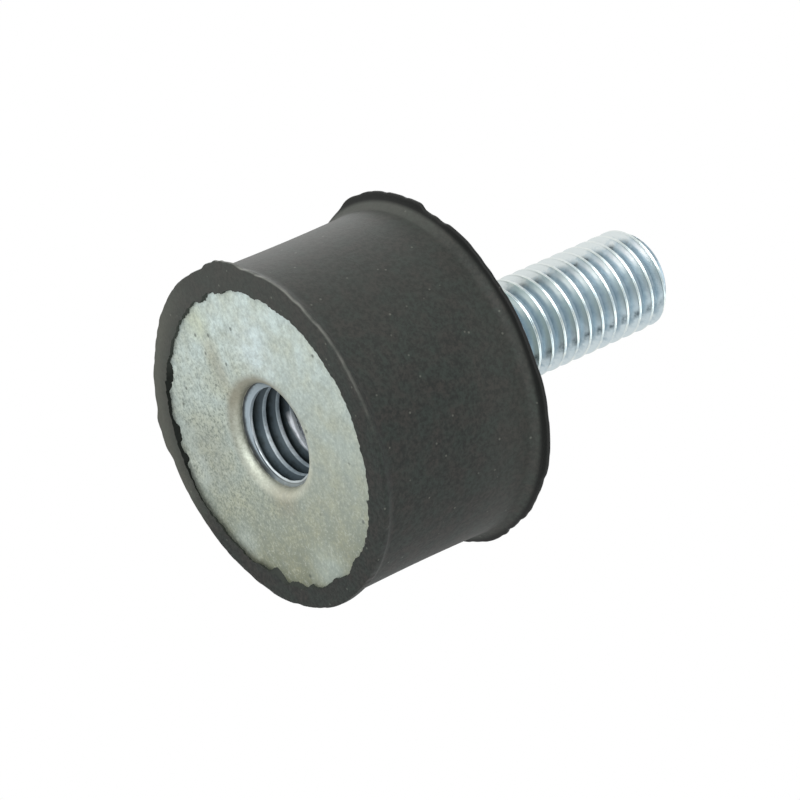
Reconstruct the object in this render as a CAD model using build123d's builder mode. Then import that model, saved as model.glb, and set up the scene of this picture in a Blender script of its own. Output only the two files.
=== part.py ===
from build123d import *
import math
import os

# Cylindrical rubber buffer. It stands on its threaded-hole end, with its axis on Z and the stud up.
# The origin is the centre of the front rubber rim, which is what it rests on.

# Rubber body
rubber_height = 15.0
waist_diameter = 25.0
waist_draw = 0.08            # how much thinner the middle is than the ends, on the radius
front_flare = 0.34           # how far the front lip stands out of the body, on the radius
rear_flare = 0.80
front_bell = 1.1             # radius of the hollow that runs the wall out into its lip
rear_bell = 0.9
bell_tapers = 3              # straight tapers that make up a hollow
lip_edge = 0.3               # least thickness of the flash
flash_land = 0.6             # flat end of the flash before it is trimmed
trim_margin = 5.0            # how far the trimming ring reaches past the flash
rim_height = 0.3             # how far the rubber stands proud of each plate

# Plates
edge_skin = 0.5              # rubber over the plates' edges
film_width = 0.75            # rubber film that covers the plates' outer border
plate_thickness = 2.0
plate_edge_chamfer = 0.2

# Metric thread, left plain here: holes at the minor diameter, shafts at the major one
thread_major = 8.0
thread_pitch = 1.25
minor_depth_factor = 1.0825  # minor diameter is the major one less this many pitches
thread_minor = thread_major - minor_depth_factor * thread_pitch

# Threaded collar, drawn out of the front plate
thread_depth = 7.0           # from the plate's face to the collar's end
collar_wall = 1.6
collar_root_round = 0.8
entry_round = 0.9            # rounded mouth that drawing leaves
entry_depth = 1.1            # to the first thread

# Stud
stud_length = 21.4           # from the rear plate's face to the tip
tip_chamfer = 0.75
head_diameter = 14.0
head_thickness = 1.8
head_chamfer = 0.4
neck_diameter = 8.4          # plain neck between head and thread, pressed into the plate
neck_fit = 0.05              # radial clearance of the neck in the plate

# Ragged moulding flash. A drift is an even shift: how far, and towards which angle.
# A ripple is its height and the turns of its two waves. A tab is its middle angle, half width and height.
outline_arcs = 36
front_drift = (0.30, 240.0)
rear_drift = (0.18, 280.0)
front_ripple = (0.05, 5, 13)
rear_ripple = (0.04, 6, 15)
wave_lead = 40.0              # degrees by which a ripple's second wave leads its first
tab_steepness = 8            # power of the window that gives a tab its flat top and steep ends
front_nib = (105.5, 6.5, 0.40)
front_shoulder = (119.0, 10.0, 0.17)
front_hollow = (141.0, 7.5, -0.10)
front_side_tab = (196.0, 9.0, 0.26)
front_wide_tab = (18.0, 28.0, 0.13)
rear_tab = (197.0, 21.5, 0.32)
rear_step = (235.0, 6.0, 0.14)
rear_hollow = (168.0, 9.0, -0.20)
rear_wide_tab = (302.0, 19.0, 0.20)
rear_nick = (347.0, 6.0, -0.10)

# Ragged edge of the film over the plates
front_film_ripple = (0.07, 11, 25)
rear_film_ripple = (0.07, 9, 21)
film_tongue = (36.0, 7.0, -0.50)
film_nibble = (104.0, 4.0, -0.35)
film_scallop = (81.0, 9.0, 0.30)

waist_radius = waist_diameter / 2
end_radius = waist_radius + waist_draw
plate_radius = waist_radius - edge_skin
opening_radius = plate_radius - film_width
stud_radius = thread_major / 2
neck_radius = neck_diameter / 2
bore_radius = thread_minor / 2
collar_radius = stud_radius + collar_wall
front_face = rim_height
collar_root = front_face + plate_thickness
thread_start = front_face + entry_depth
rear_face = rubber_height - rim_height
rear_seat = rear_face - plate_thickness
collar_end = front_face + thread_depth


def tab_height(angle, tab):
    """Height of one flash tab at an angle: flat on top, steep at both ends."""
    middle, half_width, height = tab
    away = (angle - middle + 180) % 360 - 180
    return height / (1 + (away / half_width) ** tab_steepness)


def ripple(angle, waves):
    """Uneven wave round the part, the sum of two waves that don't repeat together."""
    height, slow_turns, fast_turns = waves
    slow = math.sin(math.radians(slow_turns * angle))
    fast = math.sin(math.radians(fast_turns * angle + wave_lead))
    return height * (slow + fast) / 2


def drift(angle, shift):
    """How far an outline that sits a little to one side stands out at an angle."""
    reach, towards = shift
    return reach * math.cos(math.radians(angle - towards))


def front_lip(angle):
    """How far the front flash stands out of the body at an angle."""
    outline_tabs = (front_nib, front_shoulder, front_hollow, front_side_tab, front_wide_tab)
    tabs = sum(tab_height(angle, tab) for tab in outline_tabs)
    return front_flare + drift(angle, front_drift) + ripple(angle, front_ripple) + tabs


def rear_lip(angle):
    """How far the rear flash stands out of the body at an angle."""
    outline_tabs = (rear_tab, rear_step, rear_hollow, rear_wide_tab, rear_nick)
    tabs = sum(tab_height(angle, tab) for tab in outline_tabs)
    return rear_flare + drift(angle, rear_drift) + ripple(angle, rear_ripple) + tabs


def front_film(angle):
    """How far the front film's torn edge lies outside its nominal radius at an angle."""
    tears = sum(tab_height(angle, tab) for tab in (film_tongue, film_nibble, film_scallop))
    return ripple(angle, front_film_ripple) + tears


def rear_film(angle):
    """The same for the rear film, which tore more evenly."""
    return ripple(angle, rear_film_ripple)


def arc_points(radius, spread):
    """Three points for each arc of a closed ragged curve: a radius, plus an uneven spread."""
    points = []
    point_count = 2 * outline_arcs
    for step in range(point_count):
        angle = 360 * step / point_count
        reach = radius + spread(angle)
        points.append((reach * math.cos(math.radians(angle)), reach * math.sin(math.radians(angle))))
    points.append(points[0])
    return zip(points[0:-1:2], points[1::2], points[2::2])


def bell_points(bell):
    """How far a hollow stands out of the wall and back from the flash, from the flash in to the wall."""
    turns = [math.radians(90 * step / bell_tapers) for step in range(bell_tapers + 1)]
    return [(bell * (1 - math.sin(turn)), bell * (1 - math.cos(turn))) for turn in turns]


# Front plate with the threaded collar drawn out of its middle, turned from one half section
with BuildPart() as threaded_plate:
    with BuildSketch(Plane.XZ) as collar_section:
        with BuildLine():
            Polyline(
                (bore_radius, collar_end),
                (collar_radius, collar_end),
                (collar_radius, collar_root),
                (plate_radius, collar_root),
                (plate_radius, front_face),
                (stud_radius, front_face),
                (stud_radius, thread_start),
                (bore_radius, thread_start + stud_radius - bore_radius),
                close=True,
            )
        make_face()
        corners = collar_section.vertices()
        chamfer(corners.group_by(Axis.X)[-1], plate_edge_chamfer)
        fillet(corners.sort_by_distance((collar_radius, 0, collar_root))[0], collar_root_round)
        fillet(corners.sort_by_distance((stud_radius, 0, front_face))[0], entry_round)
    revolve(axis=Axis.Z)

with BuildPart() as rear_plate:
    with BuildSketch(Plane.XY.offset(rear_seat)):
        Circle(plate_radius)
    extrude(amount=plate_thickness)
    chamfer(rear_plate.edges(), plate_edge_chamfer)
    with BuildSketch(Plane.XY.offset(rear_seat)):
        Circle(neck_radius + neck_fit)
    extrude(amount=plate_thickness, mode=Mode.SUBTRACT)

# Flat head behind the rear plate, with a plain neck through the plate and the threaded shank above it
with BuildPart() as threaded_stud:
    with BuildSketch(Plane.XY.offset(rear_seat - head_thickness)):
        Circle(head_diameter / 2)
    extrude(amount=head_thickness)
    chamfer(threaded_stud.edges().sort_by(Axis.Z)[0], head_chamfer)
    with BuildSketch(Plane.XY.offset(rear_seat)):
        Circle(neck_radius)
    extrude(amount=plate_thickness)
    with BuildSketch(Plane.XY.offset(rear_face)):
        Circle(stud_radius)
    extrude(amount=stud_length)
    chamfer(threaded_stud.edges().sort_by(Axis.Z)[-1], tip_chamfer)

# Rubber: turned with a blank of flash at each end, which is then trimmed to its ragged outline
with BuildPart() as rubber_body:
    with BuildSketch(Plane.XZ):
        with BuildLine():
            front_end = end_radius + front_bell + flash_land
            rear_end = end_radius + rear_bell + flash_land
            front_run = [(end_radius + out, lip_edge + back) for out, back in bell_points(front_bell)]
            rear_run = [
                (end_radius + out, rubber_height - lip_edge - back)
                for out, back in reversed(bell_points(rear_bell))
            ]
            front_flash = Polyline((0, 0), (front_end, 0), (front_end, lip_edge), *front_run)
            wall = ThreePointArc(front_flash @ 1, (waist_radius, rubber_height / 2), rear_run[0])
            Polyline(
                wall @ 1,
                *rear_run[1:],
                (rear_end, rubber_height - lip_edge),
                (rear_end, rubber_height),
                (0, rubber_height),
                (0, 0),
            )
        make_face()
    revolve(axis=Axis.Z)
    lip_cuts = (
        (0, lip_edge + front_bell, front_lip),
        (rubber_height - lip_edge - rear_bell, lip_edge + rear_bell, rear_lip),
    )
    for height, depth, spread in lip_cuts:
        with BuildSketch(Plane.XY.offset(height)):
            Circle(rear_end + trim_margin)
            with BuildLine():
                for first, middle, last in arc_points(end_radius, spread):
                    ThreePointArc(first, middle, last)
            make_face(mode=Mode.SUBTRACT)
        extrude(amount=depth, mode=Mode.SUBTRACT)

    # Openings in the film over the plates, then the pockets that the metal fills
    for height, spread in ((0, front_film), (rear_face, rear_film)):
        with BuildSketch(Plane.XY.offset(height)):
            with BuildLine():
                for first, middle, last in arc_points(opening_radius, spread):
                    ThreePointArc(first, middle, last)
            make_face()
        extrude(amount=rim_height, mode=Mode.SUBTRACT)
    with BuildSketch(Plane.XY):
        Circle(collar_radius)
    extrude(amount=collar_end, mode=Mode.SUBTRACT)
    add(threaded_plate.part, mode=Mode.SUBTRACT)
    with BuildSketch(Plane.XY.offset(rear_seat)):
        Circle(collar_radius)
    extrude(amount=plate_thickness, mode=Mode.SUBTRACT)
    add(rear_plate.part, mode=Mode.SUBTRACT)
    add(threaded_stud.part, mode=Mode.SUBTRACT)

os.makedirs("parts", exist_ok=True)
pieces = {
    "rubber_body": rubber_body,
    "threaded_plate": threaded_plate,
    "rear_plate": rear_plate,
    "threaded_stud": threaded_stud,
}
for label, piece in pieces.items():
    piece.part.label = label
    export_step(piece.part, f"parts/{label}.step")
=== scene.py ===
import math

import bmesh
import bpy
from mathutils import Matrix, Vector, noise


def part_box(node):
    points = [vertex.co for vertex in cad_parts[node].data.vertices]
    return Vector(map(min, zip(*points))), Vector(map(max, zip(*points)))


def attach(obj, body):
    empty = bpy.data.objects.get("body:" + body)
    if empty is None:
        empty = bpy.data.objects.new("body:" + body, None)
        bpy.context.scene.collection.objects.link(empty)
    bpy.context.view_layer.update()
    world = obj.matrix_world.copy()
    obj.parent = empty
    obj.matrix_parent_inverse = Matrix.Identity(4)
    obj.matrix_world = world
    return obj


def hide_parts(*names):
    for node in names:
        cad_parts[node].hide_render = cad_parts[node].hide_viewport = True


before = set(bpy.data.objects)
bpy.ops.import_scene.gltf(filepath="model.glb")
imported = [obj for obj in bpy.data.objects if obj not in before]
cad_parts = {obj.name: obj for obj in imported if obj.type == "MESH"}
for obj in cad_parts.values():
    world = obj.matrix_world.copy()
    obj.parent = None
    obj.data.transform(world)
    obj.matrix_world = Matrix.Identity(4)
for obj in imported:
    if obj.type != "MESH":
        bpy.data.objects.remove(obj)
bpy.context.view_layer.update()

# Rubber buffer on its threaded-hole end: moulded rubber between two zinc-plated plates, with a
# threaded hole below and a threaded stud above. Lengths are in metres and angles in degrees.
MM = 0.001

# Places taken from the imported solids
_, rubber_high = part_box("rubber_body")
plate_low, plate_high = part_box("threaded_plate")
rear_low, rear_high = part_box("rear_plate")
stud_low, stud_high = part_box("threaded_stud")
rubber_height = rubber_high.z
front_face = plate_low.z
collar_end = plate_high.z
plate_radius = plate_high.x
rear_seat = rear_low.z
rear_face = rear_high.z
head_start = stud_low.z
head_radius = stud_high.x
stud_tip = stud_high.z

# Rubber body
waist_radius = 12.5 * MM
end_radius = 12.58 * MM       # the wall's radius where it runs out into the lips
front_bell = 1.1 * MM         # radius of the hollow that runs the wall out into its lip
rear_bell = 0.9 * MM
lip_edge = 0.3 * MM           # least thickness of the flash
opening_radius = 11.2 * MM    # mean edge of the film over the plates
film_edge = 0.22 * MM         # thickness of the film at its torn edge
collar_radius = 5.6 * MM
collar_root_round = 0.8 * MM
plate_thickness = 2.0 * MM
plate_chamfer = 0.2 * MM
rubber_steps = 720            # steps in one turn of the rubber
turned_sectors = 8            # equal sectors that a turned piece is put together from
blank_reach = 1.0 * MM        # reach of the lips before they get their ragged outline
seam = 0.002 * MM             # points closer than this are one point

# Metric thread, 8 mm with a pitch of 1.25 mm
thread_pitch = 1.25 * MM
thread_steps = 96             # steps in one turn
thread_flank = 30             # angle of a flank off the plane across the axis
thread_softening = 0.1        # share of the depth that the corners are softened by
spare_turns = 2               # turns that are swept before a face and cut away again
stud_crest = 3.90 * MM
stud_root = 3.30 * MM
stud_land = 0.12 * MM         # half the width of the rolled crest
stud_seam = 0.06 * MM         # depth of the seam that rolling leaves along the crest
stud_phase = 0.22 * MM        # height of a root over the rear plate's face, at angle 0
hole_crest = 3.45 * MM
hole_root = 4.02 * MM
hole_land = 0.17 * MM         # half the width of the tapped crest
hole_phase = 0.11 * MM        # height of a root over the front plate's face, at angle 0
neck_radius = 4.2 * MM
tip_chamfer = 0.75 * MM
head_chamfer = 0.4 * MM
entry_round = 0.8 * MM        # rounded mouth of the hole
entry_radius = 4.0 * MM       # the hole's radius at the end of its mouth
entry_slope = 2.5             # how steeply the thread's crests start there


def linear(hex_colour):
    """Linear colour of an sRGB hex value."""
    channels = [int(hex_colour[start:start + 2], 16) / 255 for start in (0, 2, 4)]
    return [c / 12.92 if c <= 0.04045 else ((c + 0.055) / 1.055) ** 2.4 for c in channels] + [1.0]


def add_node(tree, kind, inputs=None, **settings):
    """Adds a node with its settings. Inputs get values, sockets, or nodes for their first output in use."""
    made = tree.nodes.new(kind)
    for name, value in settings.items():
        setattr(made, name, value)
    for name, value in (inputs or {}).items():
        if isinstance(value, bpy.types.Node):
            value = next(socket for socket in value.outputs if socket.enabled)
        if isinstance(value, bpy.types.NodeSocket):
            tree.links.new(value, made.inputs[name])
        else:
            made.inputs[name].default_value = value
    return made


# Sockets of the colour mix node, which has several of each name
FACTOR, COLOUR_A, COLOUR_B = 0, 6, 7


def per_metre(size):
    """Texture scale that gives features of a real size."""
    return 1 / size


def new_material(name):
    """An empty material, with its node tree and the object's own coordinates."""
    material = bpy.data.materials.new(name)
    material.use_nodes = True
    tree = material.node_tree
    tree.nodes.clear()
    place = add_node(tree, "ShaderNodeTexCoord").outputs["Object"]
    return material, tree, place


def laid_over(tree, finish, shade, *shares):
    """A finish with one colour laid over it, where all of its shares meet: dust, dirt, wear, painted light
    and shade.
    """
    share = shares[0]
    for further in shares[1:]:
        share = add_node(tree, "ShaderNodeMath", {0: share, 1: further}, operation="MULTIPLY")
    return add_node(tree, "ShaderNodeMix", {
        FACTOR: share, COLOUR_A: finish, COLOUR_B: linear(shade)}, data_type="RGBA")


def from_axis(tree, place):
    """How far a point lies from the buffer's axis."""
    flat = add_node(tree, "ShaderNodeVectorMath", {0: place, 1: (1, 1, 0)}, operation="MULTIPLY")
    return add_node(tree, "ShaderNodeVectorMath", {0: flat}, operation="LENGTH")


def off_by(tree, value, middle):
    """How far a value lies from a middle one, to either side."""
    beside = add_node(tree, "ShaderNodeMath", {0: value, 1: middle}, operation="SUBTRACT")
    return add_node(tree, "ShaderNodeMath", {0: beside}, operation="ABSOLUTE")


def soft_patch(tree, place, centre, weights, reach):
    """A soft patch about a point, drawn out by the weights of its axes: 1 inside and 0 past its reach."""
    offset = add_node(tree, "ShaderNodeVectorMath", {0: place, 1: centre}, operation="SUBTRACT")
    weighted = add_node(tree, "ShaderNodeVectorMath", {0: offset, 1: weights}, operation="MULTIPLY")
    away = add_node(tree, "ShaderNodeVectorMath", {0: weighted}, operation="LENGTH")
    return add_node(tree, "ShaderNodeMapRange", {
        "Value": away, "From Min": 0.3 * reach, "From Max": reach, "To Min": 1.0, "To Max": 0.0})


def unwound(tree, axes, start):
    """Height of a point over the start of its thread, less what the thread has risen to get there."""
    turn = add_node(tree, "ShaderNodeMath", {0: axes["Y"], 1: axes["X"]}, operation="ARCTAN2")
    height = add_node(tree, "ShaderNodeMath", {0: axes["Z"], 1: start}, operation="SUBTRACT")
    return add_node(tree, "ShaderNodeMath", {
        0: turn, 1: -thread_pitch / math.tau, 2: height}, operation="MULTIPLY_ADD")


def dusty_rubber():
    """Moulded rubber, nearly black: greenish and brownish by turns, finely grained, dustier on one side.
    Its paler side also carries painted light, its front lip's edge a painted highlight, its rear flash
    painted shade.
    """
    material, tree, place = new_material("dusty_moulded_rubber")
    axes = add_node(tree, "ShaderNodeSeparateXYZ", {"Vector": place}).outputs
    radius = from_axis(tree, place)
    in_rear = add_node(tree, "ShaderNodeMath", {
        0: axes["Z"], 1: rubber_height / 2}, operation="GREATER_THAN")

    # Blotches and grain of the moulded skin
    blotch = add_node(tree, "ShaderNodeTexNoise", {
        "Vector": place, "Scale": per_metre(1.6 * MM), "Detail": 3.0, "Roughness": 0.6})
    blotch_range = add_node(tree, "ShaderNodeMapRange", {
        "Value": blotch, "From Min": 0.40, "From Max": 0.60})
    body = add_node(tree, "ShaderNodeMix", {
        FACTOR: blotch_range, COLOUR_A: linear("29302c"), COLOUR_B: linear("2f2e2b")}, data_type="RGBA")
    grain = add_node(tree, "ShaderNodeTexNoise", {
        "Vector": place, "Scale": per_metre(0.35 * MM), "Detail": 4.0, "Roughness": 0.7})
    grain_range = add_node(tree, "ShaderNodeMapRange", {
        "Value": grain, "From Min": 0.38, "From Max": 0.60})
    skin = add_node(tree, "ShaderNodeMix", {
        FACTOR: grain_range, COLOUR_A: linear("191c1a"), COLOUR_B: body}, data_type="RGBA")

    # Dust and painted light on one side of the wall, and paler towards its rear
    side_dust_and_light = add_node(tree, "ShaderNodeMapRange", {
        "Value": axes["X"], "From Min": -13 * MM, "From Max": 2 * MM, "To Min": 0.32, "To Max": 0.0})
    rear_paling = add_node(tree, "ShaderNodeMapRange", {
        "Value": axes["Z"], "From Min": 8 * MM, "From Max": 13 * MM, "To Max": 0.15})
    paling = add_node(tree, "ShaderNodeMath", {0: side_dust_and_light, 1: rear_paling}, operation="MAXIMUM")
    skin = laid_over(tree, skin, "5a5c57", paling)

    # Paler in the hollow of the rear lip on one side, and painted shade on the lip's flash
    hollow_side = add_node(tree, "ShaderNodeMapRange", {
        "Value": axes["X"], "From Min": -12 * MM, "From Max": -7 * MM, "To Min": 0.22, "To Max": 0.0})
    hollow = add_node(tree, "ShaderNodeMapRange", {
        "Value": radius, "From Min": 12.56 * MM, "From Max": 12.62 * MM})
    skin = laid_over(tree, skin, "82847d", hollow_side, hollow, in_rear)
    # Painted shade: the rear lip's flash is darkened where it stands out of the bell
    flash_shade = add_node(tree, "ShaderNodeMapRange", {
        "Value": radius, "From Min": 12.95 * MM, "From Max": 13.2 * MM, "To Max": 0.9})
    skin = laid_over(tree, skin, "0d0f0e", flash_shade, in_rear)

    # Dust and painted light on the flat of the front rim, towards its lit side
    rim_flat = add_node(tree, "ShaderNodeMath", {0: axes["Z"], 1: 0.1 * MM}, operation="LESS_THAN")
    rim_border = add_node(tree, "ShaderNodeMapRange", {
        "Value": radius, "From Min": 10.9 * MM, "From Max": 12.4 * MM, "To Max": 0.27})
    far_side = add_node(tree, "ShaderNodeMapRange", {
        "Value": axes["Y"], "From Min": 1 * MM, "From Max": 7 * MM})
    lit_dusty_side = add_node(tree, "ShaderNodeMapRange", {
        "Value": axes["X"], "From Min": 5 * MM, "From Max": 1 * MM})
    skin = laid_over(tree, skin, "7b7d72", rim_flat, rim_border, far_side, lit_dusty_side)

    # Painted highlight along the front lip's edge, patchy and fading away from its lit side
    edge_front = add_node(tree, "ShaderNodeMapRange", {
        "Value": axes["Z"], "From Min": 0.05 * MM, "From Max": 0.15 * MM})
    edge_back = add_node(tree, "ShaderNodeMapRange", {
        "Value": axes["Z"], "From Min": 0.20 * MM, "From Max": 0.42 * MM, "To Min": 1.0, "To Max": 0.0})
    lit_edge_side = add_node(tree, "ShaderNodeMapRange", {
        "Value": axes["X"], "From Min": -10 * MM, "From Max": 4 * MM, "To Min": 0.9, "To Max": 0.0})
    patchy = add_node(tree, "ShaderNodeMapRange", {
        "Value": blotch, "From Min": 0.35, "From Max": 0.60, "To Min": 0.35, "To Max": 1.0})
    skin = laid_over(tree, skin, "7d7f79", edge_front, edge_back, lit_edge_side, patchy)

    # Pale specks of dust
    specks = add_node(tree, "ShaderNodeTexVoronoi", {
        "Vector": place, "Scale": per_metre(1.1 * MM), "Randomness": 1.0})
    speck = add_node(tree, "ShaderNodeMapRange", {
        "Value": specks, "From Min": 0.05, "From Max": 0.10, "To Min": 0.35, "To Max": 0.0})
    skin = laid_over(tree, skin, "7c7f76", speck)

    bump = add_node(tree, "ShaderNodeBump", {"Height": grain, "Strength": 0.5, "Distance": 0.04 * MM})
    shader = add_node(tree, "ShaderNodeBsdfPrincipled", {
        "Base Color": skin, "Roughness": 0.65, "IOR": 1.52, "Specular IOR Level": 0.25, "Normal": bump})
    add_node(tree, "ShaderNodeOutputMaterial", {"Surface": shader})
    return material


def torn_rubber():
    """Torn edge of the rubber film: matt, blacker than the skin as painted crevice shade, paler towards its
    ends.
    """
    material, tree, place = new_material("torn_rubber_painted_shade")
    grain = add_node(tree, "ShaderNodeTexNoise", {
        "Vector": place, "Scale": per_metre(0.2 * MM), "Detail": 2.0, "Roughness": 0.6})
    torn = add_node(tree, "ShaderNodeMix", {
        FACTOR: grain, COLOUR_A: linear("0a0c0a"), COLOUR_B: linear("1f2320")}, data_type="RGBA")
    across = add_node(tree, "ShaderNodeSeparateXYZ", {"Vector": place}).outputs["X"]
    # Paler towards its ends, where the painted shade is weaker
    paling = add_node(tree, "ShaderNodeMapRange", {
        "Value": off_by(tree, across, -3.5 * MM), "From Min": 3.5 * MM, "From Max": 6.0 * MM, "To Max": 0.8})
    torn = laid_over(tree, torn, "3e423e", paling)
    shader = add_node(tree, "ShaderNodeBsdfPrincipled", {
        "Base Color": torn, "Roughness": 0.8, "IOR": 1.52, "Specular IOR Level": 0.1})
    add_node(tree, "ShaderNodeOutputMaterial", {"Surface": shader})
    return material


# Stains on the front plate: X, Y, weight of X (less of it draws them out along X), reach, strength, shade
plate_stains = (
    (-0.8 * MM, 8.0 * MM, 1, 3.6 * MM, 0.55, "979b8f"),
    (-6.1 * MM, 2.4 * MM, 0.35, 1.3 * MM, 0.6, "a3a08a"),
    (-6.2 * MM, -2.7 * MM, 1, 3.2 * MM, 0.5, "dcebee"),
    (4.2 * MM, 1.4 * MM, 1, 2.2 * MM, 0.45, "93886e"),
    (-9.8 * MM, 2.7 * MM, 1, 2.0 * MM, 0.5, "c3c9a9"),
    (10.6 * MM, -0.3 * MM, 1, 3.0 * MM, 0.5, "bccac5"),
    (6.3 * MM, 8.4 * MM, 1, 2.0 * MM, 0.4, "c3cfca"),
    (-0.1 * MM, 10.4 * MM, 1, 2.0 * MM, 0.45, "cfdad6"),
)


def dull_zinc():
    """Dull zinc plating on pressed steel: bluish to brownish across it with painted light, and peppered.
    At the hole's mouth it has painted shade and painted light.
    """
    material, tree, place = new_material("dull_zinc_plated_steel")
    axes = add_node(tree, "ShaderNodeSeparateXYZ", {"Vector": place}).outputs

    # Patina and painted light that change a little aslant across the plate, and the stains on it
    aslant = add_node(tree, "ShaderNodeMath", {
        0: axes["Y"], 1: 0.25, 2: axes["X"]}, operation="MULTIPLY_ADD")
    patina_and_light = add_node(tree, "ShaderNodeMapRange", {
        "Value": aslant, "From Min": -11 * MM, "From Max": 11 * MM})
    zinc = add_node(tree, "ShaderNodeMix", {
        FACTOR: patina_and_light, COLOUR_A: linear("d3e2e0"), COLOUR_B: linear("80846f")}, data_type="RGBA")
    for x, y, x_weight, reach, strength, shade in plate_stains:
        patch = soft_patch(tree, place, (x, y, front_face), (x_weight, 1, 1), reach)
        zinc = laid_over(tree, zinc, shade, patch, strength)

    # Cloudy yellowing, and grey mottling in the plating
    cloud = add_node(tree, "ShaderNodeTexNoise", {
        "Vector": place, "Scale": per_metre(2.2 * MM), "Detail": 3.0, "Roughness": 0.55})
    yellowing = add_node(tree, "ShaderNodeMapRange", {
        "Value": cloud, "From Min": 0.40, "From Max": 0.68, "To Max": 0.4})
    zinc = laid_over(tree, zinc, "b4b396", yellowing)
    mottle = add_node(tree, "ShaderNodeTexNoise", {
        "Vector": place, "Scale": per_metre(0.5 * MM), "Detail": 4.0, "Roughness": 0.7})
    greying = add_node(tree, "ShaderNodeMapRange", {
        "Value": mottle, "From Min": 0.32, "From Max": 0.62, "To Min": 0.45, "To Max": 0.0})
    zinc = laid_over(tree, zinc, "828b86", greying)

    # Pepper, thickest on one side and in patches, with a few pale grains and single dark specks
    pepper = add_node(tree, "ShaderNodeTexNoise", {
        "Vector": place, "Scale": per_metre(0.22 * MM), "Detail": 2.0, "Roughness": 0.7})
    dark_grains = add_node(tree, "ShaderNodeMapRange", {
        "Value": pepper, "From Min": 0.36, "From Max": 0.50, "To Min": 1.0, "To Max": 0.0})
    rough_side = soft_patch(tree, place, (-1 * MM, 7 * MM, front_face), (1, 1, 1), 12 * MM)
    rough_level = add_node(tree, "ShaderNodeMapRange", {"Value": rough_side, "To Min": 0.18, "To Max": 0.66})
    rough_patches = add_node(tree, "ShaderNodeMapRange", {
        "Value": cloud, "From Min": 0.40, "From Max": 0.62, "To Min": 0.6, "To Max": 1.1})
    zinc = laid_over(tree, zinc, "6c7670", dark_grains, rough_level, rough_patches)
    pale_grains = add_node(tree, "ShaderNodeMapRange", {
        "Value": pepper, "From Min": 0.54, "From Max": 0.70, "To Max": 0.2})
    zinc = laid_over(tree, zinc, "e9efe6", pale_grains)
    specks = add_node(tree, "ShaderNodeTexVoronoi", {
        "Vector": place, "Scale": per_metre(1.6 * MM), "Randomness": 1.0})
    speck = add_node(tree, "ShaderNodeMapRange", {
        "Value": specks, "From Min": 0.06, "From Max": 0.12, "To Min": 0.7, "To Max": 0.0})
    zinc = laid_over(tree, zinc, "59605a", speck)

    # The hole's mouth: painted shade on one side, painted light on the other, and painted shade on its inner
    # edge
    mouth = add_node(tree, "ShaderNodeMapRange", {
        "Value": from_axis(tree, place), "From Min": 5.0 * MM, "From Max": 4.45 * MM})
    shaded_side = add_node(tree, "ShaderNodeMapRange", {
        "Value": axes["X"], "From Min": 2.5 * MM, "From Max": -3.5 * MM, "To Max": 0.8})
    zinc = laid_over(tree, zinc, "868272", mouth, shaded_side)
    lit_side = add_node(tree, "ShaderNodeMapRange", {
        "Value": axes["X"], "From Min": -0.5 * MM, "From Max": 3.0 * MM, "To Max": 0.32})
    zinc = laid_over(tree, zinc, "e6e4d2", mouth, lit_side)
    inner_edge = add_node(tree, "ShaderNodeMapRange", {
        "Value": axes["Z"], "From Min": 0.90 * MM, "From Max": 1.10 * MM, "To Max": 0.8})
    in_front = add_node(tree, "ShaderNodeMath", {
        0: axes["Z"], 1: front_face + plate_thickness}, operation="LESS_THAN")
    shaded_edge_side = soft_patch(tree, place, (0.5 * MM, 0, 0), (1, 0, 0), 4.5 * MM)
    zinc = laid_over(tree, zinc, "2c302c", inner_edge, in_front, shaded_edge_side)

    bump = add_node(tree, "ShaderNodeBump", {"Height": mottle, "Strength": 0.4, "Distance": 0.03 * MM})
    shader = add_node(tree, "ShaderNodeBsdfPrincipled", {
        "Base Color": zinc, "Metallic": 0.7, "Roughness": 0.55, "Normal": bump})
    add_node(tree, "ShaderNodeOutputMaterial", {"Surface": shader})
    return material


def thread_tones(tree, place, colours, crest, root, crest_start, least_highlight):
    """Tones of a thread: painted shade in its roots and a painted highlight on its crests.
    It returns them with its root shade mask and its unevenness.
    """
    root_colour, flank_colour, crest_colour = colours
    uneven = add_node(tree, "ShaderNodeTexNoise", {
        "Vector": place, "Scale": per_metre(0.7 * MM), "Detail": 4.0, "Roughness": 0.65})
    wander = add_node(tree, "ShaderNodeMapRange", {
        "Value": uneven, "From Min": 0.3, "From Max": 0.7, "To Min": -0.25, "To Max": 0.25})
    height = add_node(tree, "ShaderNodeMapRange", {
        "Value": from_axis(tree, place), "From Min": root, "From Max": crest}, clamp=False)
    wandering_height = add_node(tree, "ShaderNodeMath", {0: height, 1: wander}, operation="ADD")
    root_shade_mask = add_node(tree, "ShaderNodeMapRange", {
        "Value": wandering_height, "From Min": 0.0, "From Max": 0.6, "To Min": 1.0, "To Max": 0.0})
    tone = add_node(tree, "ShaderNodeMix", {
        FACTOR: root_shade_mask, COLOUR_A: linear(flank_colour), COLOUR_B: linear(root_colour)}, data_type="RGBA")
    crest_highlight_mask = add_node(tree, "ShaderNodeMapRange", {
        "Value": height, "From Min": crest_start, "From Max": 1.0})
    highlight_share = add_node(tree, "ShaderNodeMapRange", {
        "Value": uneven, "From Min": 0.38, "From Max": 0.58, "To Min": least_highlight, "To Max": 1.0})
    return laid_over(tree, tone, crest_colour, crest_highlight_mask, highlight_share), root_shade_mask, uneven


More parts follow.
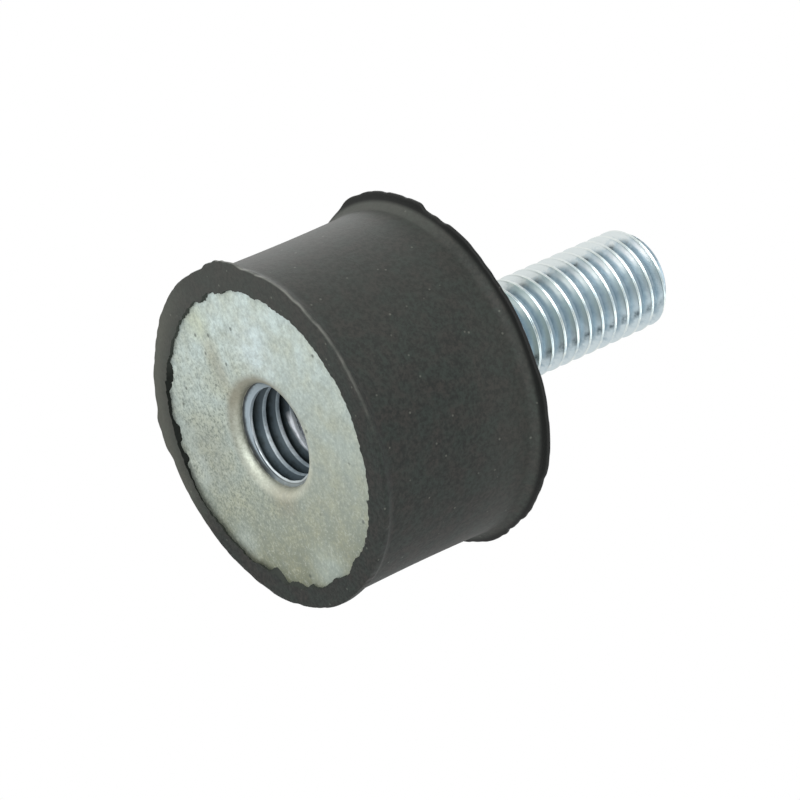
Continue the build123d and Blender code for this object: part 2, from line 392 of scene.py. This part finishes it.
def rolled_zinc():
    """Bright zinc on a rolled thread: painted highlights on its crests and where it turns away,
    and painted shade and dark reflections in its roots.
    """
    material, tree, place = new_material("bright_zinc_rolled_thread")
    # Root, flank and crest tones: painted shade in the roots and a painted highlight on the crests
    tones = ("90a3ae", "b4c4cb", "e0e3d8")
    zinc, root_shade, uneven = thread_tones(
        tree, place, tones, stud_crest, stud_root, crest_start=0.93, least_highlight=0.2)
    axes = add_node(tree, "ShaderNodeSeparateXYZ", {"Vector": place}).outputs
    across = axes["X"]

    # Painted highlight: a bright streak down one side, on the flank a third of a pitch past each root
    height = unwound(tree, axes, rear_face + stud_phase)
    pitches = add_node(tree, "ShaderNodeMath", {0: height, 1: thread_pitch}, operation="DIVIDE")
    phase = add_node(tree, "ShaderNodeMath", {0: pitches}, operation="FRACT")
    flank = add_node(tree, "ShaderNodeMapRange", {
        "Value": off_by(tree, phase, 0.33), "From Min": 0.05, "From Max": 0.13, "To Min": 1.0, "To Max": 0.0})
    streak = add_node(tree, "ShaderNodeMapRange", {
        "Value": off_by(tree, across, -1.5 * MM), "From Min": 0.3 * MM, "From Max": 1.1 * MM,
        "To Min": 0.85, "To Max": 0.0})
    zinc = laid_over(tree, zinc, "f4f8fb", streak, flank)

    # Painted highlight where the thread turns away, with a wandering border
    wander = add_node(tree, "ShaderNodeMapRange", {
        "Value": uneven, "From Min": 0.3, "From Max": 0.7, "To Min": -0.6 * MM, "To Max": 0.6 * MM})
    wandering = add_node(tree, "ShaderNodeMath", {0: across, 1: wander}, operation="ADD")
    upper = add_node(tree, "ShaderNodeMapRange", {
        "Value": wandering, "From Min": -2.4 * MM, "From Max": -3.1 * MM, "To Max": 0.75})
    lower = add_node(tree, "ShaderNodeMapRange", {
        "Value": wandering, "From Min": 2.8 * MM, "From Max": 3.7 * MM, "To Max": 0.35})
    turned_away_highlight = add_node(tree, "ShaderNodeMath", {0: upper, 1: lower}, operation="MAXIMUM")
    zinc = laid_over(tree, zinc, "e3e8e6", turned_away_highlight)

    # Spots of painted dark reflection down both borders: in the roots on one side, on the flank on the other
    apart = add_node(tree, "ShaderNodeMath", {0: across}, operation="ABSOLUTE")
    border = add_node(tree, "ShaderNodeMapRange", {
        "Value": off_by(tree, apart, 2.6 * MM), "From Min": 0.1 * MM, "From Max": 0.4 * MM,
        "To Min": 0.9, "To Max": 0.0})
    lower_side = add_node(tree, "ShaderNodeMath", {0: across, 1: 0.0}, operation="GREATER_THAN")
    dark_reflection_part = add_node(tree, "ShaderNodeMix", {"Factor": lower_side, "A": root_shade, "B": flank})
    spots = add_node(tree, "ShaderNodeMapRange", {
        "Value": uneven, "From Min": 0.40, "From Max": 0.60, "To Min": 1.0, "To Max": 0.3})
    zinc = laid_over(tree, zinc, "4d5a60", border, spots, dark_reflection_part)

    bump = add_node(tree, "ShaderNodeBump", {"Height": uneven, "Strength": 0.5, "Distance": 0.03 * MM})
    shader = add_node(tree, "ShaderNodeBsdfPrincipled", {
        "Base Color": zinc, "Metallic": 1.0, "Roughness": 0.32, "Normal": bump})
    add_node(tree, "ShaderNodeOutputMaterial", {"Surface": shader})
    return material


# Painted shadow and highlight lines on the hole's first crest:
# distance to its inner edge, half width, X of start and full, shade
crest_lines = (
    (0.26 * MM, 0.05 * MM, -0.8 * MM, 0.0, "1c2326"),
    (0.10 * MM, 0.10 * MM, -2.4 * MM, -1.6 * MM, "dfe8ec"),
)
crest_line_strength = 0.8
cone_lean = 0.67              # share of the radius taken off the height, to keep the lines even on the cone


def tapped_zinc():
    """Zinc in a tapped thread, painted dark with shade down its roots and deep in the hole,
    and pale with painted light along its broad crests and near its mouth.
    """
    material, tree, place = new_material("tapped_zinc_painted_light_and_shade")
    # Root, flank and crest tones: painted shade in the roots and a painted highlight on the crests
    tones = ("293335", "4a575e", "e2edf3")
    zinc, root_shade, _ = thread_tones(
        tree, place, tones, hole_crest, hole_root, crest_start=0.86, least_highlight=0.7)
    axes = add_node(tree, "ShaderNodeSeparateXYZ", {"Vector": place}).outputs
    off_middle = off_by(tree, axes["X"], 0.5 * MM)

    # Painted shade on crests past the first turn, to both sides of the middle
    climb = add_node(tree, "ShaderNodeMath", {0: axes["X"], 1: 0.075, 2: axes["Z"]}, operation="MULTIPLY_ADD")
    past_first = add_node(tree, "ShaderNodeMapRange", {
        "Value": climb, "From Min": 1.7 * MM, "From Max": 1.9 * MM})
    beside = add_node(tree, "ShaderNodeMapRange", {
        "Value": off_middle, "From Min": 0.6 * MM, "From Max": 2.0 * MM})
    shaded_crests = add_node(tree, "ShaderNodeMath", {0: beside, 1: past_first}, operation="MULTIPLY")
    zinc = add_node(tree, "ShaderNodeMix", {
        FACTOR: shaded_crests, COLOUR_A: zinc, COLOUR_B: linear("c8cfd3")}, data_type="RGBA", blend_type="MULTIPLY")

    # First turn: painted light down its flank and at one end, and painted lines of shadow and highlight along
    # its crest
    first_turn = add_node(tree, "ShaderNodeMath", {0: 1.0, 1: past_first}, operation="SUBTRACT")
    out_of_roots = add_node(tree, "ShaderNodeMath", {0: 0.9, 1: root_shade}, operation="SUBTRACT", use_clamp=True)
    zinc = laid_over(tree, zinc, "98a6ae", out_of_roots, first_turn)
    height = unwound(tree, axes, front_face + hole_phase)
    down_cone = add_node(tree, "ShaderNodeMath", {
        0: from_axis(tree, place), 1: -cone_lean, 2: height}, operation="MULTIPLY_ADD")
    inner_edge = thread_pitch / 2 + hole_land - cone_lean * hole_crest
    for before_edge, half_width, start, full, shade in crest_lines:
        crest_line = add_node(tree, "ShaderNodeMath", {
            0: down_cone, 1: inner_edge - before_edge, 2: half_width}, operation="COMPARE")
        stretch = add_node(tree, "ShaderNodeMapRange", {
            "Value": axes["X"], "From Min": start, "From Max": full})
        zinc = laid_over(tree, zinc, shade, crest_line, stretch, crest_line_strength)
    lit_end = add_node(tree, "ShaderNodeMapRange", {
        "Value": axes["X"], "From Min": 2.5 * MM, "From Max": 3.3 * MM, "To Max": 0.5})
    zinc = laid_over(tree, zinc, "a2abaa", lit_end, first_turn)

    # Painted shadow line where the thread starts, which fades out at the lit end
    entry_end = add_node(tree, "ShaderNodeMapRange", {
        "Value": axes["X"], "From Min": -2.0 * MM, "From Max": 1.0 * MM,
        "To Min": 1.18 * MM, "To Max": 1.23 * MM})
    past_entry = add_node(tree, "ShaderNodeMath", {0: axes["Z"], 1: entry_end}, operation="SUBTRACT")
    entry_shadow = add_node(tree, "ShaderNodeMapRange", {
        "Value": past_entry, "From Min": -0.03 * MM, "From Max": 0.03 * MM, "To Min": 0.85, "To Max": 0.0})
    entry_side = add_node(tree, "ShaderNodeMapRange", {
        "Value": axes["X"], "From Min": 2.0 * MM, "From Max": 3.2 * MM, "To Min": 1.0, "To Max": 0.25})
    zinc = laid_over(tree, zinc, "1c201f", entry_shadow, entry_side)

    # Painted highlight deep in the hole, on one side, streaked along the thread
    drawn_out = add_node(tree, "ShaderNodeVectorMath", {0: place, 1: (1, 1, 5)}, operation="MULTIPLY")
    streak = add_node(tree, "ShaderNodeTexNoise", {
        "Vector": drawn_out, "Scale": per_metre(0.9 * MM), "Detail": 3.0, "Roughness": 0.6})
    streaked_highlight = add_node(tree, "ShaderNodeMapRange", {
        "Value": streak, "From Min": 0.40, "From Max": 0.50, "To Min": 0.45, "To Max": 1.0})
    deep = add_node(tree, "ShaderNodeMapRange", {
        "Value": axes["Z"], "From Min": 4.74 * MM, "From Max": 4.88 * MM})
    narrow = add_node(tree, "ShaderNodeMapRange", {
        "Value": off_middle, "From Min": 1.0 * MM, "From Max": 1.8 * MM, "To Min": 1.0, "To Max": 0.0})
    far_side = add_node(tree, "ShaderNodeMath", {0: axes["Y"], 1: 0.0}, operation="GREATER_THAN")
    zinc = laid_over(tree, zinc, "f2f8ff", streaked_highlight, deep, narrow, far_side)

    bump = add_node(tree, "ShaderNodeBump", {"Height": streak, "Strength": 0.5, "Distance": 0.04 * MM})
    shader = add_node(tree, "ShaderNodeBsdfPrincipled", {
        "Base Color": zinc, "Metallic": 0.3, "Roughness": 0.4, "Normal": bump})
    add_node(tree, "ShaderNodeOutputMaterial", {"Surface": shader})
    return material


def line(start, end, parts):
    """Evenly spaced points of a straight stretch of a section, its start included and its end not."""
    shares = [step / parts for step in range(parts)]
    return [(start[0] + (end[0] - start[0]) * s, start[1] + (end[1] - start[1]) * s) for s in shares]


def spun(mesh, angle, steps, rise=0.0, copies=False):
    """Spins all that a bmesh holds round Z, sweeping it or leaving a copy at each step."""
    everything = mesh.verts[:] + mesh.edges[:] + mesh.faces[:]
    bmesh.ops.spin(mesh, geom=everything, cent=(0, 0, 0), axis=(0, 0, 1), dvec=(0, 0, rise),
                   angle=angle, steps=steps, use_merge=False, use_duplicate=copies)


def chain(points):
    """A bmesh of a chain of edges in the section plane."""
    mesh = bmesh.new()
    corners = [mesh.verts.new((radius, 0, height)) for radius, height in points]
    for pair in zip(corners, corners[1:]):
        mesh.edges.new(pair)
    return mesh


def turned(outline, steps):
    """A bmesh of an outline turned once round Z: one sector, then copies of it."""
    mesh = chain(outline)
    sector = math.tau / turned_sectors
    spun(mesh, sector, steps // turned_sectors)
    spun(mesh, math.tau - sector, turned_sectors - 1, copies=True)
    bmesh.ops.remove_doubles(mesh, verts=mesh.verts, dist=seam)
    on_axis = [edge for edge in mesh.edges if edge.is_wire]
    bmesh.ops.delete(mesh, geom=on_axis, context="EDGES")
    return mesh


def helix(section, start, turns):
    """A bmesh of one pitch of thread section, swept up its right-hand helix from a height."""
    mesh = chain([(radius, start + height) for radius, height in section])
    spun(mesh, math.tau, thread_steps, rise=thread_pitch / thread_steps)
    spun(mesh, 0.0, turns - 1, rise=thread_pitch, copies=True)
    bmesh.ops.remove_doubles(mesh, verts=mesh.verts, dist=seam)
    return mesh


def cut(mesh, height, clear_below=False, clear_above=False):
    """Cuts a mesh at a height, and returns the edges along the cut."""
    everything = mesh.verts[:] + mesh.edges[:] + mesh.faces[:]
    result = bmesh.ops.bisect_plane(mesh, geom=everything, plane_co=(0, 0, height), plane_no=(0, 0, 1),
                                    clear_inner=clear_below, clear_outer=clear_above)
    return [part for part in result["geom_cut"] if isinstance(part, bmesh.types.BMEdge)]


def rings(mesh, edges, stations):
    """Extrudes an open round edge through rings of a radius and a height, and returns the last one."""
    for radius, height in stations:
        made = bmesh.ops.extrude_edge_only(mesh, edges=edges)["geom"]
        corners = {part for part in made if isinstance(part, bmesh.types.BMVert)}
        for corner in corners:
            corner.co.xy *= radius / corner.co.xy.length
            corner.co.z = height
        edges = [part for part in made
                 if isinstance(part, bmesh.types.BMEdge) and all(v in corners for v in part.verts)]
    return edges


def finished(mesh, name, replaced, materials, sharp_angle):
    """Turns a bmesh into a finished piece on the root body that stands for a node of the frame."""
    bmesh.ops.remove_doubles(mesh, verts=mesh.verts, dist=seam)
    bmesh.ops.recalc_face_normals(mesh, faces=mesh.faces)
    data = bpy.data.meshes.new(name)
    mesh.to_mesh(data)
    mesh.free()
    for material in materials:
        data.materials.append(material)
    data.shade_smooth()
    data.set_sharp_from_angle(angle=math.radians(sharp_angle))
    piece = bpy.data.objects.new(name, data)
    bpy.context.scene.collection.objects.link(piece)
    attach(piece, "root")
    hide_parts(replaced)


def window(angle, tab):
    """Height of one tab of flash or film at an angle: flat on top, and as steep at its ends as it says."""
    middle, half_width, height, *steepness = tab
    rise, fall = steepness or (tab_steepness, tab_steepness)
    away = (angle - middle + 180) % 360 - 180
    return height / (1 + abs(away / half_width) ** (fall if away > 0 else rise))


def drift(angle, shift):
    """How far an outline that sits a little to one side stands out at an angle."""
    reach, towards = shift
    return reach * math.cos(math.radians(angle - towards))


def ripple(angle, waves):
    """Uneven wave round the part, the sum of two waves that don't repeat together."""
    height, slow_turns, fast_turns = waves
    slow = math.sin(math.radians(slow_turns * angle))
    fast = math.sin(math.radians(fast_turns * angle + wave_lead))
    return height * (slow + fast) / 2


def roughness_at(angle, layer, grain):
    """Repeatable noise from -1 to 1 round the body, with features of a real size."""
    turn = math.radians(angle)
    reach = waist_radius / grain
    return noise.noise(Vector((reach * math.cos(turn), reach * math.sin(turn), layer)))


# Flash lips and film, as in the solids, with the finer tears that only show close up
wave_lead = 40.0              # how far a ripple's second wave leads its first
tab_steepness = 8             # power that makes the ends of most tabs steep
front_flare = 0.34 * MM       # how far the front lip stands out of the wall
rear_flare = 0.80 * MM
front_drift = (0.30 * MM, 240.0)     # how far a lip is shifted, and towards which angle
rear_drift = (0.18 * MM, 280.0)
front_ripple = (0.05 * MM, 5, 13)    # height of a ripple, and the turns of its two waves
rear_ripple = (0.04 * MM, 6, 15)

# Tabs: middle, half width, height, and the steepness of both ends where it isn't the usual one
front_tabs = (
    (105.5, 6.5, 0.40 * MM),
    (119.0, 10.0, 0.17 * MM),
    (141.0, 7.5, -0.10 * MM),
    (196.0, 9.0, 0.26 * MM, 16, 8),
    (195.0, 2.4, 0.12 * MM),
    (18.0, 28.0, 0.13 * MM),
)
rear_tabs = (
    (197.0, 21.5, 0.32 * MM, 8, 60),
    (235.0, 6.0, 0.14 * MM),
    (168.0, 9.0, -0.20 * MM),
    (302.0, 19.0, 0.20 * MM),
    (347.0, 6.0, -0.10 * MM),
)
front_film_tabs = (
    (22.0, 8.0, 0.18 * MM),
    (38.0, 7.0, -0.20 * MM),
    (60.0, 22.0, -0.09 * MM),
    (92.0, 42.0, 0.10 * MM),
    (80.0, 6.0, 0.14 * MM),
    (121.0, 6.0, 0.12 * MM),
    (153.0, 17.0, -0.18 * MM),
    (177.0, 2.6, -0.34 * MM),
    (191.0, 3.0, -0.20 * MM),
    (212.0, 1.5, -0.14 * MM),
    (251.0, 21.0, 0.09 * MM),
    (323.0, 10.0, 0.12 * MM),
    (338.0, 2.2, -0.14 * MM),
    (346.0, 2.5, 0.12 * MM),
    (356.0, 2.0, -0.16 * MM),
    (6.0, 2.4, 0.10 * MM),
    (14.0, 2.0, -0.14 * MM),
)
front_flap_tabs = (
    (22.0, 4.0, 0.30 * MM),
    (33.5, 3.5, 0.42 * MM),
    (50.0, 3.0, -0.13 * MM),
    (66.0, 26.0, -0.20 * MM),
    (82.0, 8.0, -0.15 * MM),
    (96.0, 1.7, 0.40 * MM),
    (106.0, 3.2, 0.42 * MM),
    (112.0, 1.6, -0.15 * MM),
    (129.0, 5.0, 0.42 * MM),
    (164.0, 2.0, 0.14 * MM),
    (180.0, 1.6, 0.22 * MM),
)
front_film_ripple = (0.04 * MM, 11, 25)
rear_film_ripple = (0.07 * MM, 9, 21)

# Finer tears, each with its depth and its size along the edge
lip_tear = 0.12 * MM
lip_tear_grain = 0.7 * MM
film_tear = 0.16 * MM
film_tear_grain = 2.1 * MM
film_tooth = 0.16 * MM
film_tooth_grain = 0.8 * MM
film_nick = 0.07 * MM
film_nick_grain = 0.25 * MM

# Layers of the noise, so that no two edges are torn alike, and its stride from tooth to tooth
front_lip_layer = 1.5
rear_lip_layer = 2.5
front_film_layer = 4.5
rear_film_layer = 5.5
front_flap_layer = 12.5
tooth_layer = 3               # above the layer of the film's coarse tears
nick_layer = 6
tooth_stride = 3.7


def front_lip(angle):
    """How far the front flash stands out of the wall at an angle."""
    tabs = sum(window(angle, tab) for tab in front_tabs)
    torn = lip_tear * min(roughness_at(angle, front_lip_layer, lip_tear_grain), 0)
    return front_flare + drift(angle, front_drift) + ripple(angle, front_ripple) + tabs + torn


def rear_lip(angle):
    """How far the rear flash stands out of the wall at an angle."""
    tabs = sum(window(angle, tab) for tab in rear_tabs)
    torn = lip_tear * min(roughness_at(angle, rear_lip_layer, lip_tear_grain), 0)
    return rear_flare + drift(angle, rear_drift) + ripple(angle, rear_ripple) + tabs + torn


def teeth_at(angle, layer, grain):
    """Height from 0 to 1 of repeatable torn teeth along the film's edge, each a step that runs out."""
    count = round(math.tau * opening_radius / grain)
    tooth, share = divmod(angle / 360 * count, 1)
    height = 0.5 + 0.5 * noise.noise(Vector((tooth * tooth_stride, layer, 0.5)))
    return height * (1 - share)


def torn_edge(angle, layer):
    """Ragged edge of the film: coarse tears, small teeth in them, and fine nicks."""
    tear = film_tear * (0.5 - teeth_at(angle, layer, film_tear_grain))
    tooth = film_tooth * (0.5 - teeth_at(angle, layer + tooth_layer, film_tooth_grain))
    nick = film_nick * roughness_at(angle, layer + nick_layer, film_nick_grain)
    return tear + tooth + nick


def front_film(angle):
    """How far the front film's edge lies outside its mean radius at an angle."""
    tabs = sum(window(angle, tab) for tab in front_film_tabs)
    return ripple(angle, front_film_ripple) + tabs + torn_edge(angle, front_film_layer)


def front_flap(angle):
    """How far the film's foot reaches in over the plate from its edge, at an angle."""
    tabs = sum(window(angle, tab) for tab in front_flap_tabs)
    return tabs + film_nick * roughness_at(angle, front_flap_layer, film_nick_grain)


def rear_film(angle):
    """The same for the rear film, which tore more evenly."""
    return ripple(angle, rear_film_ripple) + torn_edge(angle, rear_film_layer)


def bell_height(reach, bell):
    """Height of a lip's hollow over the lip's edge, at a distance out of the wall."""
    inside = max(bell - reach, 0)
    return bell - math.sqrt(max(bell ** 2 - inside ** 2, 0))


def rubber_outline():
    """Half section of the rubber with plain lips, from the front film's edge right round to it again."""
    # Steps across the film, the flash, the wall and the hollows
    film_parts = 6
    flash_parts = 4
    wall_parts = 16
    bell_parts = 12

    front_top = lip_edge + front_bell
    rear_bottom = rubber_height - lip_edge - rear_bell
    wall_bulge = end_radius - waist_radius
    wall = []
    for step in range(1, wall_parts):
        share = step / wall_parts
        sink = wall_bulge * math.sin(math.pi * share)
        wall.append((end_radius - sink, front_top + (rear_bottom - front_top) * share))

    # Shares of the flash's reach, closer together near the wall
    bell_steps = [(step / bell_parts) ** 2 for step in range(bell_parts + 1)]

    # Rounded edge of the flash, as shares of its reach and of its thickness
    nose_start = 0.9
    nose = ((nose_start, 0), (0.97, 0.1), (1.0, 0.35), (1.0, 0.65), (0.97, 0.9))
    flash_reach = nose_start * blank_reach

    outline = line((opening_radius, 0), (end_radius, 0), film_parts)
    outline += line((end_radius, 0), (end_radius + flash_reach, 0), flash_parts)
    outline += [(end_radius + blank_reach * out, lip_edge * up) for out, up in nose]
    outline += [(end_radius + flash_reach * s, lip_edge + front_bell * (1 - s)) for s in reversed(bell_steps)]
    outline += wall
    outline += [(end_radius + flash_reach * s, rear_bottom + rear_bell * s) for s in bell_steps]
    outline += [(end_radius + blank_reach * out, rubber_height - lip_edge * up) for out, up in reversed(nose)]
    outline += line((end_radius + flash_reach, rubber_height), (end_radius, rubber_height), flash_parts)[1:]
    outline += line((end_radius, rubber_height), (opening_radius, rubber_height), film_parts)
    outline += [
        (opening_radius, rubber_height),
        (opening_radius, rubber_height - film_edge),
        (opening_radius, rear_face),
        (plate_radius, rear_face),
        (plate_radius, rear_seat),
        (head_radius, rear_seat),
        (head_radius, head_start),
        (0, head_start),
        (0, collar_end),
        (collar_radius, collar_end),
        (collar_radius, front_face + plate_thickness),
        (plate_radius, front_face + plate_thickness),
        (plate_radius, front_face),
        (opening_radius, front_face),
        (opening_radius, film_edge),
        (opening_radius, 0),
    ]
    return outline


def ragged(place):
    """Where a point of the plainly turned rubber lies on the ragged moulding."""
    radius = place.xy.length
    if radius < opening_radius - seam:
        return place
    angle = math.degrees(math.atan2(place.y, place.x)) % 360
    in_front = place.z < rubber_height / 2
    height = place.z if in_front else rubber_height - place.z
    bell = front_bell if in_front else rear_bell
    lip = front_lip(angle) if in_front else rear_lip(angle)
    film = front_film(angle) if in_front else rear_film(angle)
    if radius > end_radius + seam:
        # On a lip, which keeps its hollow but gets its own reach at each angle
        share = (radius - end_radius) / blank_reach
        radius = end_radius + lip * share
        if height > lip_edge - seam:
            height = lip_edge + bell_height(lip * share, bell)
        else:
            height *= 1 + bell_height(lip, bell) / lip_edge
    elif height < seam:
        # On the flat rim, from the wall in to the film's edge
        share = (end_radius - radius) / (end_radius - opening_radius)
        radius += film * share
    elif height < front_face + seam and radius < opening_radius + seam:
        # Down the film's torn wall, whose foot reaches in over the front plate
        flap = front_flap(angle) if in_front else 0
        radius += film - flap * height / front_face
    direction = Vector((math.cos(math.radians(angle)), math.sin(math.radians(angle))))
    return Vector((*(direction * radius), height if in_front else rubber_height - height))


def make_rubber(skin, torn):
    """The moulded body, with its flash lips and the torn film over the plates' edges."""
    mesh = turned(rubber_outline(), rubber_steps)
    for face in mesh.faces:
        middle = face.calc_center_median()
        height = min(middle.z, rubber_height - middle.z)
        on_film_edge = middle.xy.length < plate_radius and seam < height < front_face + seam
        # The film's torn wall gets the torn rubber, which paints the crevice's shade
        face.material_index = int(on_film_edge)
    for corner in mesh.verts:
        corner.co = ragged(corner.co)
    finished(mesh, "moulded_rubber", "rubber_body", [skin, torn], sharp_angle=50)


def thread_section(crest, root, land, dip):
    """One pitch of thread in section, from root to root: flanks, softened corners and a seamed crest."""
    middle = thread_pitch / 2
    depth = crest - root
    soften = thread_softening * depth
    flank_start = middle - land - abs(depth) * math.tan(math.radians(thread_flank))
    flank_parts = 7

    # Softened root, straight flank, and half a crest that is rounded and falls to its seam
    half = [(root, 0), (root + soften * 0.3, flank_start * 0.8)]
    half += line((root + soften, flank_start), (crest - soften, middle - land), flank_parts)
    half += [
        (crest - soften, middle - land),
        (crest - soften * 0.3, middle - land * 0.85),
        (crest, middle - land * 0.6),
        (crest - dip * 0.4, middle - land * 0.25),
        (crest - dip, middle),
    ]
    return half + [(radius, thread_pitch - height) for radius, height in reversed(half[:-1])]


def make_stud(material):
    """Rolled stud: flat head and neck below, thread to the chamfered tip."""
    thread_start = rear_face - spare_turns * thread_pitch
    turns = math.ceil((stud_tip - thread_start) / thread_pitch) + 1
    section = thread_section(stud_crest, stud_root, stud_land, stud_seam)
    mesh = helix(section, thread_start + stud_phase, turns)
    for corner in mesh.verts:
        limit = stud_crest - tip_chamfer + (stud_tip - corner.co.z)
        radius = corner.co.xy.length
        if radius > limit > 0:
            corner.co.xy *= limit / radius
    foot = cut(mesh, rear_face, clear_below=True)
    tip = cut(mesh, stud_tip, clear_above=True)
    bmesh.ops.edgeloop_fill(mesh, edges=tip)
    head_end = rings(mesh, foot, [
        (neck_radius, rear_face),
        (neck_radius, rear_seat),
        (head_radius, rear_seat),
        (head_radius, head_start + head_chamfer),
        (head_radius - head_chamfer, head_start),
    ])
    bmesh.ops.edgeloop_fill(mesh, edges=head_end)
    finished(mesh, "rolled_stud", "threaded_stud", [material], sharp_angle=35)


def make_front_plate(plate_material, thread_material):
    """Pressed plate with its collar drawn out behind, the hole's rounded mouth and the thread in it."""
    mouth_end = front_face + entry_round
    thread_start = front_face - spare_turns * thread_pitch
    turns = math.ceil((collar_end - thread_start) / thread_pitch) + 1
    section = thread_section(hole_crest, hole_root, hole_land, 0)
    mesh = helix(section, thread_start + hole_phase, turns)
    for corner in mesh.verts:
        depth = mouth_end - corner.co.z
        if 0 < depth:
            drop = min(depth, entry_round)
            limit = entry_radius + entry_round - math.sqrt(max(entry_round ** 2 - drop ** 2, 0))
        else:
            limit = entry_radius + entry_slope * depth
        radius = corner.co.xy.length
        if radius < limit:
            corner.co.xy *= limit / radius
    cut(mesh, mouth_end)
    mouth = cut(mesh, front_face, clear_below=True)
    bore_end = cut(mesh, collar_end, clear_above=True)
    for face in mesh.faces:
        face.material_index = int(face.calc_center_median().z > mouth_end)
    collar_root = front_face + plate_thickness
    halfway = 0.3 * collar_root_round    # how far the middle of the round lies off plate and collar
    outside = rings(mesh, mouth, [
        (plate_radius - plate_chamfer, front_face),
        (plate_radius, front_face + plate_chamfer),
        (plate_radius, collar_root - plate_chamfer),
        (plate_radius - plate_chamfer, collar_root),
        (collar_radius + collar_root_round, collar_root),
        (collar_radius + halfway, collar_root + halfway),
        (collar_radius, collar_root + collar_root_round),
    ])
    collar = rings(mesh, bore_end, [(collar_radius, collar_end)])
    bmesh.ops.bridge_loops(mesh, edges=outside + collar)
    finished(mesh, "drawn_plate", "threaded_plate",
             [plate_material, thread_material], sharp_angle=35)


def make_camera():
    """Camera at the photograph's angle: below the buffer, rolled so that its axis points up to the right."""
    lens = 247.5
    place = Vector((0.0, -331.22, -210.47)) * MM
    aim = Vector((1.311, 2.799, 13.824)) * MM
    roll = math.radians(65.928)
    data = bpy.data.cameras.new("camera")
    data.lens = lens
    data.sensor_width = 36.0
    data.clip_start = 0.01
    camera = bpy.data.objects.new("camera", data)
    bpy.context.scene.collection.objects.link(camera)
    look = (aim - place).to_track_quat("-Z", "Y").to_matrix().to_4x4()
    camera.matrix_world = Matrix.Translation(place) @ look @ Matrix.Rotation(roll, 4, "Z")
    bpy.context.scene.camera = camera


def make_lamp(name, towards, distance, size, power):
    """A soft square lamp that shines on the buffer from a direction."""
    data = bpy.data.lights.new(name, "AREA")
    data.size = size
    data.energy = power
    lamp = bpy.data.objects.new(name, data)
    bpy.context.scene.collection.objects.link(lamp)
    middle = Vector((0, 0, stud_tip / 2))
    place = middle + Vector(towards).normalized() * distance
    look = (middle - place).to_track_quat("-Z", "Y").to_matrix().to_4x4()
    lamp.matrix_world = Matrix.Translation(place) @ look


def make_world():
    """White to the camera and in reflections, and a plain soft level as light."""
    world = bpy.data.worlds.new("studio")
    bpy.context.scene.world = world
    world.use_nodes = True
    tree = world.node_tree
    tree.nodes.clear()
    path = add_node(tree, "ShaderNodeLightPath")
    mirrored = add_node(tree, "ShaderNodeMath", {
        0: path.outputs["Is Glossy Ray"], 1: path.outputs["Is Transmission Ray"]}, operation="MAXIMUM")
    seen = add_node(tree, "ShaderNodeMath", {
        0: path.outputs["Is Camera Ray"], 1: mirrored}, operation="MAXIMUM")
    level = add_node(tree, "ShaderNodeMapRange", {"Value": seen, "To Min": 0.55, "To Max": 1.0})
    light = add_node(tree, "ShaderNodeBackground", {"Color": (1, 1, 1, 1), "Strength": level})
    add_node(tree, "ShaderNodeOutputWorld", {"Surface": light})


def make_floor():
    """Plain pale floor. It is seen from above, and from below the camera looks through it."""
    half_width = 3.0
    mesh = bmesh.new()
    bmesh.ops.create_grid(mesh, x_segments=1, y_segments=1, size=half_width)
    data = bpy.data.meshes.new("floor")
    mesh.to_mesh(data)
    mesh.free()
    floor = bpy.data.objects.new("floor", data)
    bpy.context.scene.collection.objects.link(floor)
    material, tree, _ = new_material("pale_floor")
    side = add_node(tree, "ShaderNodeNewGeometry").outputs["Backfacing"]
    paint = add_node(tree, "ShaderNodeBsdfDiffuse", {"Color": linear("f2f2f0")})
    clear = add_node(tree, "ShaderNodeBsdfTransparent")
    one_sided = add_node(tree, "ShaderNodeMixShader", {0: side, 1: paint, 2: clear})
    add_node(tree, "ShaderNodeOutputMaterial", {"Surface": one_sided})
    data.materials.append(material)
    floor.visible_diffuse = False
    floor.visible_glossy = False
    floor.visible_transmission = False
    floor.visible_shadow = False


zinc_plate = dull_zinc()
make_rubber(dusty_rubber(), torn_rubber())
make_front_plate(zinc_plate, tapped_zinc())
make_stud(rolled_zinc())

# The rear plate shows the mesh of its own node
rear_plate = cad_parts["rear_plate"]
rear_plate.data.materials.clear()
rear_plate.data.materials.append(zinc_plate)

make_camera()
make_world()
make_floor()

# Lamps: direction from the buffer, distance, size and power
make_lamp("front", (-0.3, -0.72, -0.58), 0.7, 0.5, 4.0)
make_lamp("low", (0.8, -0.3, -0.35), 0.7, 0.5, 1.2)
make_lamp("overhead", (0.2, -0.2, 1.0), 0.7, 0.5, 0.9)
make_lamp("sheen", (-0.6, 0.5, 0.62), 0.6, 0.35, 1.3)

bpy.context.scene.view_settings.view_transform = "Standard"
